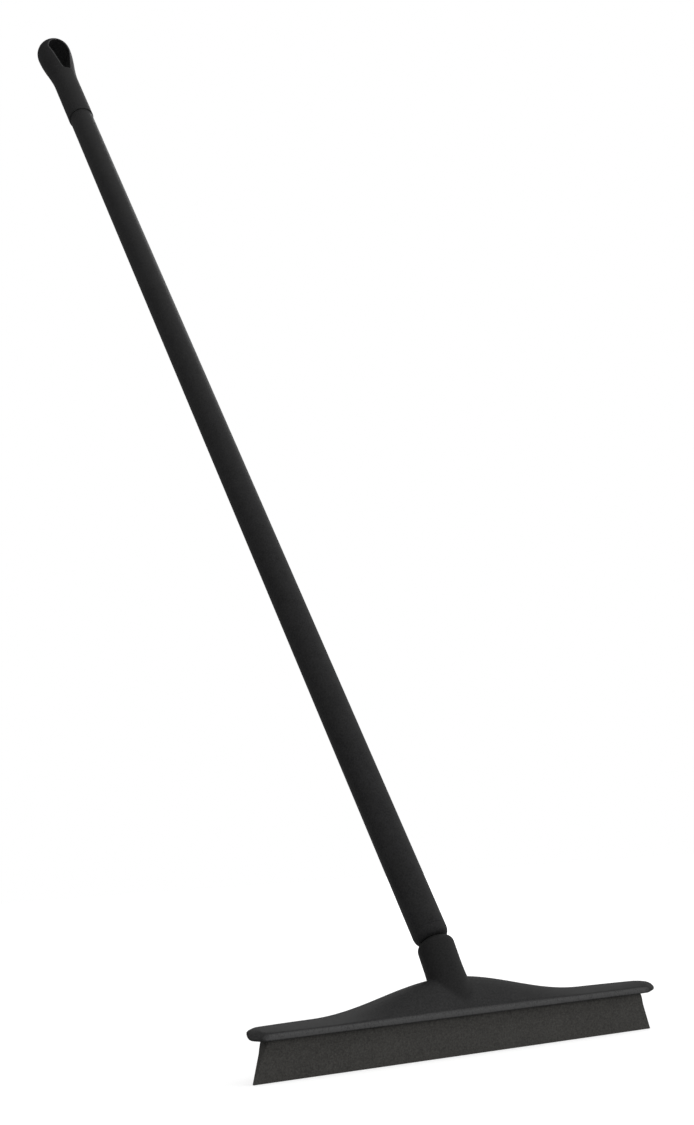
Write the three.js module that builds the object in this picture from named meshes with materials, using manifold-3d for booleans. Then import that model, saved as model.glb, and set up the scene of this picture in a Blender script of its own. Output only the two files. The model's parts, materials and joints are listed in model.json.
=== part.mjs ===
import * as THREE from 'three';
import { mergeVertices } from 'three/addons/utils/BufferGeometryUtils.js';
import Module from 'manifold-3d';

const wasm = await Module();
wasm.setup();

// A floor squeegee: a rigid moulded head with a tapered rubber blade and a long handle that screws in.
// Lengths are in millimetres and angles in degrees.
// The floor edge of the blade lies along X with its middle at the origin, Z is up in the plane of the
// blade, and the handle leans back towards +Y.

// Clearances shared by all pieces
const seatGap = 0.3;
const cutOverrun = 3;
const channelEndGap = 0.8;
const weldDistance = 0.0001;

// Rubber blade
const bladeEdgeWidth = 400;
const bladeRootWidth = 377;
const bladeEdgeThickness = 2.4;
const bladeNeckThickness = 8.6;
const bladeNeckHeight = 22;
const bladeRootRadius = 6.5;
const bladeRootHeight = 31.2;
const bladeNeckSwell = 0.4;
const bladeNeckCurve = 4.5;
const bladeRootCurve = 3.2;

// Deck of the head, a bow in plan with a straight front lip
const deckHalfLength = 205;
const deckFront = 12;
const deckNoseLine = 4.6;
const deckCornerRun = 20;
const deckRear = 32.5;
const lipUnderside = 32;
const lipTop = 37.6;
const lipRounding = 2.7;
const frontRimHeight = 34.4;
const rearRimHeight = 39.7;
const rimClimbInset = 3.1;
const rimClimbSpan = 9.6;
const noseTopRun = 15;
const noseUnderRun = 18;
const noseSpan = 12;
const ridgeEndInset = 15;
const crownOverhang = 13.5;
const rearUndersideRise = 4.5;
const crownRise = 4.6;
const saddleRise = 20.4;
const saddleHalfWidth = 136;
const ridgeShare = 0.7;
const crownRearShare = 0.6;
const saddleRearShare = 0.25;
const undersideFlatShare = 0.45;

// Handle axis
const handleLean = 33.4;
const axisReferenceHeight = 60;
const axisReferenceRear = 16.5;
const seatDistance = 38.5;

// Threaded socket on the deck
const socketRimRadius = 11.4;
const socketRadius = 16.6;
const socketRimRun = 7;
const socketBodyRun = 22;
const socketFootRadius = 19.5;
const socketFootRun = 28;
const socketLength = 70;
const socketLeanBack = 6.9;
const socketFloorHeight = 38;
const socketBoreDepth = 38;

// Round screw thread between the socket and the handle
const threadPitch = 5;
const threadCoreRadius = 9;
const threadCrestRadius = 10.4;
const threadRootWidth = 3.2;
const threadCrestWidth = 1.8;
const threadRootSink = 0.8;
const threadStart = 4;
const threadLength = 26;
const threadFade = 2.5;
const threadFadeShare = 0.2;
const threadClearance = 0.4;

// Handle from its shoulder on the socket to the top of the cap
const handleLength = 1511.5;
const sleeveRadius = 15.8;
const sleeveWall = 1;
const tubeWall = 1.5;
const collarHeight = 10;
const collarRounding = 8.5;
const capLength = 193;

// Spigots that plug the ends of the tube
const spigotLength = 60;
const spigotWall = 3;
const spigotLead = 1.5;
const screwLength = 33;
const screwLead = 1.2;
const endFloor = 5;

// Hanging cap
const capSkirtRadius = 17;
const capSkirtEdge = 0.9;
const capSkirtHeight = 90;
const capBulbRadius = 23.8;
const capBulbHeight = 22;
const holeTopRadius = 15;
const holeTopEdge = 16;
const holeBottomRadius = 6;
const holeLength = 70;

// Smoothness
const roundSteps = 48;
const deckStations = 72;
const deckRingShares = [0, 0.01, 0.03, 0.06, 0.1, 0.18, 0.32, 0.5, 0.75, 1];
const edgeSteps = 3;
const curveSteps = 6;
const neckSteps = 10;
const domeSteps = 8;
const turnSteps = 20;

// Sizes that follow from the driving dimensions
const crownHalfLength = deckHalfLength + crownOverhang;
const ridgeHalfLength = deckHalfLength - ridgeEndInset;
const rimClimbStart = rimClimbInset - deckFront;
const sleeveBore = sleeveRadius - sleeveWall;
const tubeRadius = sleeveBore - seatGap;
const tubeBore = tubeRadius - tubeWall;
const spigotRadius = tubeBore - seatGap;
const spigotBore = spigotRadius - spigotWall;
const capBase = handleLength - capLength;
const bulbCentre = handleLength - capBulbHeight;
const holeTopCentre = handleLength - holeTopEdge - holeTopRadius;
const holeBottomCentre = handleLength - holeTopEdge - holeLength + holeBottomRadius;

// Solids to and from closed triangle meshes

function solidOf(geometry) {
  const bare = geometry.clone();
  bare.deleteAttribute('normal');
  bare.deleteAttribute('uv');
  const welded = mergeVertices(bare, weldDistance);
  const corners = Array.from(welded.index.array);
  const kept = [];
  for (let i = 0; i < corners.length; i += 3) {
    const [a, b, c] = corners.slice(i, i + 3);
    if (a !== b && b !== c && c !== a) kept.push(a, b, c);
  }
  const vertProperties = new Float32Array(welded.attributes.position.array);
  const triVerts = new Uint32Array(kept);
  return new wasm.Manifold(new wasm.Mesh({ numProp: 3, vertProperties, triVerts }));
}

function geometryOf(solid) {
  const { vertProperties, triVerts } = solid.getMesh();
  const geometry = new THREE.BufferGeometry();
  geometry.setAttribute('position', new THREE.BufferAttribute(new Float32Array(vertProperties), 3));
  geometry.setIndex(new THREE.BufferAttribute(new Uint32Array(triVerts), 1));
  geometry.computeVertexNormals();
  return geometry;
}

// A closed skin over rings of equal count. Two tips close its ends, and a skin whose end rings fold
// flat onto themselves needs none.
function loft(rings, ...tips) {
  const positions = [...rings.flat(), ...tips].flatMap((point) => point.toArray());
  const count = rings[0].length;
  const first = rings.length * count;
  const last = first + 1;
  const end = first - count;
  const index = [];
  for (let j = 0; j < count; j += 1) {
    const next = (j + 1) % count;
    for (let i = 0; i + 1 < rings.length; i += 1) {
      const low = i * count;
      const high = low + count;
      index.push(low + j, low + next, high + next, low + j, high + next, high + j);
    }
    if (tips.length > 0) index.push(first, next, j, last, end + j, end + next);
  }
  const geometry = new THREE.BufferGeometry();
  geometry.setAttribute('position', new THREE.Float32BufferAttribute(positions, 3));
  geometry.setIndex(index);
  return geometry;
}

// The middle of a ring, which closes a loft with a flat end
function middleOf(ring) {
  const sum = ring.reduce((total, point) => total.add(point), new THREE.Vector3());
  return sum.divideScalar(ring.length);
}

// A turned solid about Z from points of radius and height
function turned(points) {
  return new THREE.LatheGeometry(points, roundSteps).rotateX(Math.PI / 2);
}

// Points on a quarter of an ellipse about a centre, from one axis of it to the other
function quarterTurn(centreRadius, centreHeight, acrossRadius, alongRadius, from, steps) {
  const points = [];
  for (let i = 0; i <= steps; i += 1) {
    const angle = from + (Math.PI / 2) * (i / steps);
    const radius = centreRadius + acrossRadius * Math.cos(angle);
    points.push(new THREE.Vector2(radius, centreHeight + alongRadius * Math.sin(angle)));
  }
  return points;
}

// The handle's place: its Z runs up the handle from the seat of its shoulder on the socket

const lean = THREE.MathUtils.degToRad(handleLean);
const handlePlace = new THREE.Group();
handlePlace.rotation.x = -lean;
handlePlace.position.set(
  0,
  axisReferenceRear + seatDistance * Math.sin(lean),
  axisReferenceHeight + seatDistance * Math.cos(lean),
);
handlePlace.updateMatrixWorld(true);

// Blade: a tapered wiper whose round root turns in the channel under the deck

function bladeProfile() {
  const edge = bladeEdgeThickness / 2;
  const neck = bladeNeckThickness / 2;
  const profile = new THREE.Shape();
  profile.moveTo(-edge, 0);
  profile.lineTo(edge, 0);
  profile.lineTo(neck, bladeNeckHeight);
  profile.bezierCurveTo(
    neck + bladeNeckSwell, bladeNeckHeight + bladeNeckCurve,
    bladeRootRadius, bladeRootHeight - bladeRootCurve,
    bladeRootRadius, bladeRootHeight,
  );
  profile.absarc(0, bladeRootHeight, bladeRootRadius, 0, Math.PI, false);
  profile.bezierCurveTo(
    -bladeRootRadius, bladeRootHeight - bladeRootCurve,
    -neck - bladeNeckSwell, bladeNeckHeight + bladeNeckCurve,
    -neck, bladeNeckHeight,
  );
  profile.closePath();
  return profile;
}

function bladeGeometry() {
  const settings = { depth: bladeEdgeWidth, bevelEnabled: false, curveSegments: curveSteps * 2 };
  const slab = new THREE.ExtrudeGeometry(bladeProfile(), settings);
  const flat = slab.attributes.position;
  for (let i = 0; i < flat.count; i += 1) {
    const height = flat.getY(i);
    const widthShare = 1 - (1 - bladeRootWidth / bladeEdgeWidth) * (height / bladeRootHeight);
    flat.setXYZ(i, (flat.getZ(i) - bladeEdgeWidth / 2) * widthShare, flat.getX(i), height);
  }
  return geometryOf(solidOf(slab));
}

// Deck: rings that run in from its rim to a ridge line, below and above

function frontEdgeAt(x) {
  const past = Math.max(0, Math.abs(x) - (deckHalfLength - deckCornerRun)) / deckCornerRun;
  return -deckNoseLine - (deckFront - deckNoseLine) * Math.sqrt(Math.max(0, 1 - past ** 2));
}

function rearEdgeAt(x, halfLength) {
  const bow = Math.sqrt(Math.max(0, 1 - (x / halfLength) ** 2));
  return -deckNoseLine + (deckRear + deckNoseLine) * bow;
}

// How far back a point lies, from the lip at 0 to the rear edge at 1
function crownShareAt(x, y) {
  return (y + deckFront) / (rearEdgeAt(x, crownHalfLength) + deckFront);
}

function risingTo(share, rearShare) {
  if (share < ridgeShare) return Math.sin((Math.PI / 2) * (share / ridgeShare));
  const past = (share - ridgeShare) / (1 - ridgeShare);
  return 1 - (1 - rearShare) * past ** 2;
}

function deckTopAt(x, y) {
  const share = crownShareAt(x, y);
  const along = Math.min(1, Math.abs(x) / saddleHalfWidth);
  const saddle = (saddleRise * (1 + Math.cos(Math.PI * along))) / 2;
  const crown = crownRise * risingTo(share, crownRearShare);
  return lipTop + crown + saddle * risingTo(share, saddleRearShare);
}

function deckUndersideAt(x, y) {
  const past = Math.max(0, crownShareAt(x, y) - undersideFlatShare) / (1 - undersideFlatShare);
  return lipUnderside + rearUndersideRise * past ** 2;
}

// The share of its full height that a rounded rim has at a distance from its tip
function roundedShare(distance, run) {
  const inside = Math.max(0, 1 - distance / run);
  return Math.sqrt(Math.max(0, 1 - inside ** 2));
}

// The rim's middle line climbs round the noses, from the lip to the rear
function rimHeightAt(y) {
  const climb = THREE.MathUtils.smoothstep(y, rimClimbStart, rimClimbStart + rimClimbSpan);
  return frontRimHeight + (rearRimHeight - frontRimHeight) * climb;
}

// The same places along X behind and in front, so that a ring can fold onto the ridge line
function deckOutline() {
  const rear = [];
  for (let i = 0; i <= deckStations; i += 1) {
    const x = deckHalfLength * Math.cos(Math.PI * (i / deckStations));
    rear.push(new THREE.Vector2(x, rearEdgeAt(x, deckHalfLength)));
  }
  const front = rear.slice(1, -1).reverse();
  return [...rear, ...front.map(({ x }) => new THREE.Vector2(x, frontEdgeAt(x)))];
}

function deckRing(share, faceAt, noseRun) {
  return deckOutline().map((edge) => {
    const ridgeX = edge.x * (ridgeHalfLength / deckHalfLength);
    const ridgeY = ridgeShare * (rearEdgeAt(ridgeX, crownHalfLength) + deckFront) - deckFront;
    const ridge = new THREE.Vector2(ridgeX, ridgeY);
    const place = edge.clone().lerp(ridge, share);
    const nose = THREE.MathUtils.smoothstep(Math.abs(edge.x), deckHalfLength - noseSpan, deckHalfLength);
    const run = Math.min(lipRounding + (noseRun - lipRounding) * nose, ridge.distanceTo(edge));
    const rim = rimHeightAt(edge.y);
    const face = faceAt(place.x, place.y);
    const height = rim + (face - rim) * roundedShare(place.distanceTo(edge), run);
    return new THREE.Vector3(place.x, place.y, height);
  });
}

function deckSolid() {
  const lower = deckRingShares.slice(1).reverse();
  const rings = [
    ...lower.map((share) => deckRing(share, deckUndersideAt, noseUnderRun)),
    ...deckRingShares.map((share) => deckRing(share, deckTopAt, noseTopRun)),
  ];
  return solidOf(loft(rings));
}

// Socket: rings square to the handle, whose centres drift back so that the outside stands steeper

function socketFrontRadiusAt(depth) {
  return socketRimRadius + (socketRadius - socketRimRadius) * roundedShare(depth, socketRimRun);
}

// The sides and the back flare towards the deck, and the front stays plain
function socketFlareAt(depth) {
  const past = Math.min(1, Math.max(0, depth - socketBodyRun) / socketFootRun);
  return (socketFootRadius - socketRadius) * past ** 2;
}

function socketRing(depth) {
  const drift = Math.max(0, depth - socketRimRun) * Math.tan(THREE.MathUtils.degToRad(socketLeanBack));
  const front = socketFrontRadiusAt(depth);
  const flared = front + socketFlareAt(depth);
  const ring = [];
  for (let j = 0; j < roundSteps; j += 1) {
    const angle = (2 * Math.PI * j) / roundSteps;
    const across = flared * Math.cos(angle);
    const back = (angle > Math.PI ? front : flared) * Math.sin(angle);
    ring.push(new THREE.Vector3(across, drift + back, -seatGap - depth));
  }
  return ring;
}

function socketSolid() {
  const depths = [];
  for (let i = 0; i < curveSteps; i += 1) {
    depths.push(socketRimRun * (1 - Math.cos((Math.PI / 2) * (i / curveSteps))));
  }
  for (let i = 0; i <= curveSteps; i += 1) {
    depths.push(socketRimRun + (socketLength - socketRimRun) * (i / curveSteps));
  }
  const rings = depths.map(socketRing).reverse();
  const socket = solidOf(loft(rings, middleOf(rings[0]), middleOf(rings[rings.length - 1]))
    .applyMatrix4(handlePlace.matrixWorld));
  const below = new THREE.BoxGeometry(deckHalfLength, deckHalfLength, deckHalfLength);
  below.translate(0, 0, socketFloorHeight - deckHalfLength / 2);
  return socket.subtract(solidOf(below));
}

// Thread: one ridge that follows a right-hand helix and fades out at both ends

function threadRing(angle, along, growth, fade) {
  const root = threadCoreRadius - threadRootSink;
  const crest = root + (threadCrestRadius + growth - root) * fade;
  const crestHalf = threadCrestWidth / 2 + growth;
  const rootHalf = threadRootWidth / 2 + growth;
  const corner = (radius, height) => new THREE.Vector3(
    radius * Math.cos(angle), radius * Math.sin(angle), along + height,
  );
  return [
    corner(root, rootHalf), corner(crest, crestHalf),
    corner(crest, -crestHalf), corner(root, -rootHalf),
  ];
}

function threadRidge(bottom, top, growth, fadeLength) {
  const steps = Math.ceil(((top - bottom) / threadPitch) * turnSteps);
  const rings = [];
  for (let i = 0; i <= steps; i += 1) {
    const along = bottom + (top - bottom) * (i / steps);
    const fromEnd = Math.min(along - bottom, top - along);
    const fade = fadeLength > 0 ? Math.max(roundedShare(fromEnd, fadeLength), threadFadeShare) : 1;
    rings.push(threadRing((2 * Math.PI * along) / threadPitch, along, growth, fade));
  }
  return solidOf(loft(rings, middleOf(rings[0]), middleOf(rings[rings.length - 1])));
}

function boreSolid() {
  const radius = threadCoreRadius + threadClearance;
  const bottom = -seatGap - socketBoreDepth;
  const bore = solidOf(turned([
    new THREE.Vector2(0, bottom),
    new THREE.Vector2(radius, bottom),
    new THREE.Vector2(radius, cutOverrun),
    new THREE.Vector2(0, cutOverrun),
  ]));
  const grooveBottom = -threadStart - threadLength - threadPitch / 2;
  const groove = threadRidge(grooveBottom, cutOverrun, threadClearance, 0);
  return bore.add(groove);
}

function headGeometry() {
  const channel = new THREE.CylinderGeometry(
    bladeRootRadius + seatGap, bladeRootRadius + seatGap, bladeRootWidth + 2 * channelEndGap, roundSteps,
  );
  channel.rotateZ(Math.PI / 2).translate(0, 0, bladeRootHeight);
  const bore = solidOf(geometryOf(boreSolid()).applyMatrix4(handlePlace.matrixWorld));
  return geometryOf(deckSolid().add(socketSolid()).subtract(solidOf(channel)).subtract(bore));
}

// Threaded end: screw, rounded collar and the hollow spigot inside the tube

function threadedEndGeometry() {
  const screwBottom = -screwLength;
  const collarEdge = sleeveRadius - socketRimRadius;
  const collarCurve = quarterTurn(
    socketRimRadius, collarRounding, collarEdge, collarRounding, -Math.PI / 2, curveSteps,
  );
  const spigotTop = collarHeight + spigotLength;
  const body = solidOf(turned([
    new THREE.Vector2(0, screwBottom),
    new THREE.Vector2(threadCoreRadius - screwLead, screwBottom),
    new THREE.Vector2(threadCoreRadius, screwBottom + screwLead),
    new THREE.Vector2(threadCoreRadius, 0),
    ...collarCurve,
    new THREE.Vector2(sleeveRadius, collarHeight),
    new THREE.Vector2(spigotRadius, collarHeight),
    new THREE.Vector2(spigotRadius, spigotTop - spigotLead),
    new THREE.Vector2(spigotRadius - spigotLead, spigotTop),
    new THREE.Vector2(spigotBore, spigotTop),
    new THREE.Vector2(spigotBore, endFloor),
    new THREE.Vector2(0, endFloor),
  ]));
  const ridge = threadRidge(-threadStart - threadLength, -threadStart, 0, threadFade);
  return geometryOf(body.add(ridge));
}

// Tube and sleeve: two long pipes, one inside the other

function pipeGeometry(bore, radius, bottom, top) {
  return geometryOf(solidOf(turned([
    new THREE.Vector2(bore, bottom),
    new THREE.Vector2(radius, bottom),
    new THREE.Vector2(radius, top),
    new THREE.Vector2(bore, top),
    new THREE.Vector2(bore, bottom),
  ])));
}

// Hanging cap: spigot, skirt, tapering neck and a bulb with a teardrop hole through it

function capOutline() {
  const neckBottom = capBase + capSkirtHeight;
  const points = [
    new THREE.Vector2(0, capBase + endFloor),
    new THREE.Vector2(spigotBore, capBase + endFloor),
    new THREE.Vector2(spigotBore, capBase - spigotLength),
    new THREE.Vector2(spigotRadius - spigotLead, capBase - spigotLength),
    new THREE.Vector2(spigotRadius, capBase - spigotLength + spigotLead),
    new THREE.Vector2(spigotRadius, capBase),
    ...quarterTurn(capSkirtRadius - capSkirtEdge, capBase + capSkirtEdge, capSkirtEdge, capSkirtEdge,
      -Math.PI / 2, edgeSteps),
  ];
  for (let i = 0; i < neckSteps; i += 1) {
    const share = i / neckSteps;
    const swell = (capBulbRadius - capSkirtRadius) * (1 - Math.cos(Math.PI * share)) / 2;
    const height = neckBottom + (bulbCentre - neckBottom) * share;
    points.push(new THREE.Vector2(capSkirtRadius + swell, height));
  }
  points.push(...quarterTurn(0, bulbCentre, capBulbRadius, capBulbHeight, 0, domeSteps));
  return points;
}

// The outline round two circles, seen along Y, from the lower circle's tangents to the upper one's
function holeOutline() {
  const span = holeTopCentre - holeBottomCentre;
  const tilt = Math.asin((holeTopRadius - holeBottomRadius) / span);
  const outline = new THREE.Shape();
  outline.absarc(0, holeTopCentre, holeTopRadius, -tilt, Math.PI + tilt, false);
  outline.absarc(0, holeBottomCentre, holeBottomRadius, Math.PI + tilt, 2 * Math.PI - tilt, false);
  outline.closePath();
  return outline;
}

function capGeometry() {
  const reach = capBulbRadius + cutOverrun;
  const settings = { depth: 2 * reach, bevelEnabled: false, curveSegments: roundSteps / 2 };
  const hole = new THREE.ExtrudeGeometry(holeOutline(), settings);
  hole.rotateX(Math.PI / 2).translate(0, reach, 0);
  return geometryOf(solidOf(turned(capOutline())).subtract(solidOf(hole)));
}

// The assembled squeegee

function piece(name, geometry, color, roughness, metalness) {
  const mesh = new THREE.Mesh(geometry, new THREE.MeshStandardMaterial({ color, roughness, metalness }));
  mesh.name = name;
  return mesh;
}

const tubeBottom = collarHeight + seatGap;
const tubeTop = capBase - seatGap;
handlePlace.add(
  piece('thread_end', threadedEndGeometry(), 0x2a2a2b, 0.5, 0),
  piece('handle_tube', pipeGeometry(tubeBore, tubeRadius, tubeBottom, tubeTop), 0xb4b6b8, 0.35, 1),
  piece('handle_sleeve', pipeGeometry(sleeveBore, sleeveRadius, tubeBottom, tubeTop), 0x232325, 0.5, 0),
  piece('hanging_cap', capGeometry(), 0x242426, 0.5, 0),
);

const squeegee = new THREE.Group();
squeegee.add(
  piece('head_body', headGeometry(), 0x323232, 0.5, 0),
  piece('blade', bladeGeometry(), 0x383735, 0.7, 0),
  handlePlace,
);

export default squeegee;
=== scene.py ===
"""A long-handled floor squeegee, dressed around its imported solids.

Sizes are written in millimetres, as on the drawing of each piece, and every mesh is brought to metres
before it becomes an object. The floor edge of the blade lies along X with its middle at the origin, Z is
up in the plane of the blade, and the handle leans back towards +Y.
"""

from __future__ import annotations

import json
import logging
import math
from dataclasses import dataclass
from enum import Enum
from typing import Callable, Mapping, Sequence

import bmesh
import bpy
from mathutils import Matrix, Vector

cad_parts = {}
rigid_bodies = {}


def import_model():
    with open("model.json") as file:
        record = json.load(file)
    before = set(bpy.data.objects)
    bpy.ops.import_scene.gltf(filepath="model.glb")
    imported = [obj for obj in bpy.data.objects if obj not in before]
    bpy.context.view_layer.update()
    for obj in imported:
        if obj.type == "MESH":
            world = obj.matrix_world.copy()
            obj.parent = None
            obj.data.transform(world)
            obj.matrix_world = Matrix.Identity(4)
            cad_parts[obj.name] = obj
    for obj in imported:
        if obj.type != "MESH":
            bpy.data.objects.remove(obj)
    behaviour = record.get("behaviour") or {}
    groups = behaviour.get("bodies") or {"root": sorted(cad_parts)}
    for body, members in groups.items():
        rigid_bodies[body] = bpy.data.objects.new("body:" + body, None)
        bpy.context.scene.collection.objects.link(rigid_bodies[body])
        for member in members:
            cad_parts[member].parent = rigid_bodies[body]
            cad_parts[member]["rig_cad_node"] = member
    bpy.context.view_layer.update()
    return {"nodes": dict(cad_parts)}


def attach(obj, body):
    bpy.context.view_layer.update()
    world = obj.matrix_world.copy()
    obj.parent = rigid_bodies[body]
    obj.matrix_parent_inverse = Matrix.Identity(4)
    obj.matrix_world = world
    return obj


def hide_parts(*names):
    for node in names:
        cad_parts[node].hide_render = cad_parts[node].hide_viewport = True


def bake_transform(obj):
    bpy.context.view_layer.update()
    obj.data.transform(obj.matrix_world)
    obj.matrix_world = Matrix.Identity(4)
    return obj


LOG = logging.getLogger("squeegee")
MM = 0.001
QUARTER = math.pi / 2
TURN = 2 * math.pi
WELD = 0.001
SLIVER = WELD / 10
SMOOTHING = 0.5
ROUND_PROFILE = 0.5
MIX_SHARE, MIX_BELOW, MIX_OVER, MIX_RESULT = 0, 6, 7, 2
WHITE = (1.0, 1.0, 1.0, 1.0)

Point = tuple[float, float]
Position = tuple[float, float, float]
Colour = tuple[float, float, float]
Skin = bmesh.types.BMesh
Piece = bpy.types.Object
Tree = bpy.types.NodeTree
Node = bpy.types.Node
Output = bpy.types.NodeSocket
Inputs = Mapping[str | int, object]


class Body(Enum):
    """The rigid bodies that a piece can ride on."""

    HEAD = "head"
    BLADE = "blade"
    HANDLE = "handle"


class Cut(Enum):
    """The ways in which two solids are combined."""

    REMOVE = "DIFFERENCE"
    JOIN = "UNION"


class Op(Enum):
    """What a Math node does."""

    ADD = "ADD"
    SUBTRACT = "SUBTRACT"
    MULTIPLY = "MULTIPLY"
    MAXIMUM = "MAXIMUM"


class Blend(Enum):
    """How one colour is laid over another."""

    COVER = "MIX"
    SHADE = "MULTIPLY"


class Ray(Enum):
    """Outputs of the light path that show the plain background."""

    CAMERA = "Is Camera Ray"
    TRANSMISSION = "Is Transmission Ray"


# Mesh helpers


def blended(value: float) -> float:
    """Eases a share from 0 to 1 with no kink at either end."""
    share = min(1.0, max(0.0, value))
    return share * share * (3.0 - 2.0 * share)


def rounded(distance: float, run: float) -> float:
    """The share of its full height that a rounded rim has at a distance from its tip."""
    inside = max(0.0, 1.0 - distance / run)
    return math.sqrt(max(0.0, 1.0 - inside * inside))


def arc(
    centre: Point, across: float, along: float, start: float, turn: float, steps: int,
) -> list[Point]:
    """Points on a part of an ellipse round a centre, both ends included. Angles are in radians."""
    angles = [start + turn * i / steps for i in range(steps + 1)]
    return [(centre[0] + across * math.cos(a), centre[1] + along * math.sin(a)) for a in angles]


def place_ring(verts: Sequence[bmesh.types.BMVert], points: Sequence[Vector]) -> None:
    """Moves the vertices of a ring to their points, in order."""
    for vert, point in zip(verts, points):
        vert.co = point


def skin(rings: Sequence[Sequence[Vector]], capped: bool = False) -> Skin:
    """Draws one skin over closed rings of equal count.

    Args:
        rings: The rings in order, each a closed loop of points.
        capped: Whether flat faces close the first and the last ring.

    Returns:
        The skin.
    """
    bm = bmesh.new()
    made = bmesh.ops.create_circle(bm, cap_ends=False, segments=len(rings[0]), radius=1.0)
    verts = list(made["verts"])
    place_ring(verts, rings[0])
    edges = list(bm.edges)
    if capped:
        bmesh.ops.edgeloop_fill(bm, edges=edges)
    for ring in rings[1:]:
        grown = bmesh.ops.extrude_edge_only(bm, edges=edges)["geom"]
        edges = [item for item in grown if isinstance(item, bmesh.types.BMEdge)]
        fresh = {item for item in grown if isinstance(item, bmesh.types.BMVert)}
        verts = [next(e.other_vert(v) for e in v.link_edges if e.other_vert(v) in fresh) for v in verts]
        place_ring(verts, ring)
    if capped:
        bmesh.ops.edgeloop_fill(bm, edges=edges)
    return bm


def spun(
    bm: Skin, geom: Sequence[object], angle: float, steps: int, rise: float = 0.0, merge: bool = False,
) -> None:
    """Spins geometry round Z.

    Args:
        bm: The skin that holds it.
        geom: What is spun.
        angle: Angle passed through, in radians.
        steps: Number of stretches.
        rise: Height gained in each stretch.
        merge: Whether the last stretch is joined to the first.
    """
    bmesh.ops.spin(
        bm, geom=geom, cent=(0, 0, 0), axis=(0, 0, 1), dvec=(0, 0, rise), angle=angle, steps=steps,
        use_merge=merge, use_normal_flip=False, use_duplicate=False,
    )


def turned(profile: Sequence[Point], steps: int, closed: bool = False) -> Skin:
    """Turns a solid round Z from its profile.

    Args:
        profile: Radius and height of each point.
        steps: Number of faces round the axis.
        closed: Whether the profile ends where it starts, as a pipe's wall does.

    Returns:
        The turned solid.
    """
    bm = bmesh.new()
    verts = [bm.verts.new((radius, 0.0, height)) for radius, height in profile]
    pairs = list(zip(verts, verts[1:])) + ([(verts[-1], verts[0])] if closed else [])
    edges = [bm.edges.new(pair) for pair in pairs]
    spun(bm, verts + edges, TURN, steps, merge=True)
    return tidied(bm)


def tidied(bm: Skin) -> Skin:
    """Merges doubled vertices and turns all faces outwards.

    Args:
        bm: The skin, which is changed.

    Returns:
        The same skin.
    """
    bmesh.ops.remove_doubles(bm, verts=bm.verts, dist=WELD)
    bmesh.ops.dissolve_degenerate(bm, edges=bm.edges, dist=SLIVER)
    bmesh.ops.recalc_face_normals(bm, faces=bm.faces)
    return bm


def meshed(bm: Skin, name: str) -> bpy.types.Mesh:
    """Makes a mesh of a skin.

    Args:
        bm: The skin, which is freed.
        name: The mesh's name.

    Returns:
        The new mesh.
    """
    mesh = bpy.data.meshes.new(name)
    bm.to_mesh(mesh)
    bm.free()
    return mesh


def shown(name: str, data: bpy.types.ID) -> Piece:
    """Adds an object to the scene.

    Args:
        name: The object's name.
        data: Its mesh, light or camera.

    Returns:
        The new object.
    """
    piece = bpy.data.objects.new(name, data)
    bpy.context.scene.collection.objects.link(piece)
    return piece


def given(item: object, settings: Mapping[str, object]) -> None:
    """Sets the properties of an item."""
    for name, value in settings.items():
        setattr(item, name, value)


def discarded(holder: Piece) -> None:
    """Removes a scratch object and its mesh.

    Args:
        holder: The object.
    """
    mesh = holder.data
    bpy.data.objects.remove(holder)
    bpy.data.meshes.remove(mesh)


def through_modifier(bm: Skin, kind: str, **settings: object) -> Skin:
    """Runs one modifier on a skin.

    Args:
        bm: The skin, which is freed.
        kind: The modifier's type.
        settings: Its properties.

    Returns:
        The skin that the modifier makes.
    """
    holder = shown("work", meshed(bm, "work"))
    given(holder.modifiers.new(kind, kind), settings)
    seen = holder.evaluated_get(bpy.context.evaluated_depsgraph_get())
    result = bmesh.new()
    result.from_mesh(seen.to_mesh())
    seen.to_mesh_clear()
    discarded(holder)
    return result


def combined(bm: Skin, other: Skin, cut: Cut) -> Skin:
    """Combines two closed skins, both of which are freed.

    Args:
        bm: The skin that is kept.
        other: The skin that is joined to it or cut from it.
        cut: What happens to the other skin.

    Returns:
        The combined skin.
    """
    cutter = shown("cutter", meshed(other, "cutter"))
    result = through_modifier(bm, "BOOLEAN", operation=cut.value, solver="EXACT", object=cutter)
    discarded(cutter)
    return result


def remeshed(bm: Skin, voxel: float) -> Skin:
    """Fuses what overlaps into one even skin, with faces about as wide as a voxel."""
    return through_modifier(bm, "REMESH", mode="VOXEL", voxel_size=voxel)


def softened(bm: Skin, near: Callable[[Vector], float], reaches: Sequence[float], rounds: int) -> None:
    """Rounds an inner or outer corner of a fine skin.

    Args:
        bm: The skin.
        near: Gives a vertex's distance from the corner.
        reaches: How far from the corner each pass works.
        rounds: Number of smoothings in each pass.
    """
    distances = {vert: near(vert.co) for vert in bm.verts}
    for reach in reaches:
        verts = [vert for vert, distance in distances.items() if distance < reach]
        for _ in range(rounds):
            bmesh.ops.smooth_vert(
                bm, verts=verts, factor=SMOOTHING, use_axis_x=True, use_axis_y=True, use_axis_z=True,
            )


def marked(bm: Skin, name: str, share: Callable[[Vector], float]) -> None:
    """Gives every vertex a share that a finish can read.

    Args:
        bm: The skin.
        name: The attribute's name.
        share: Gives the share at a place.
    """
    layer = bm.verts.layers.float.new(name)
    for vert in bm.verts:
        vert[layer] = share(vert.co)


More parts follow.
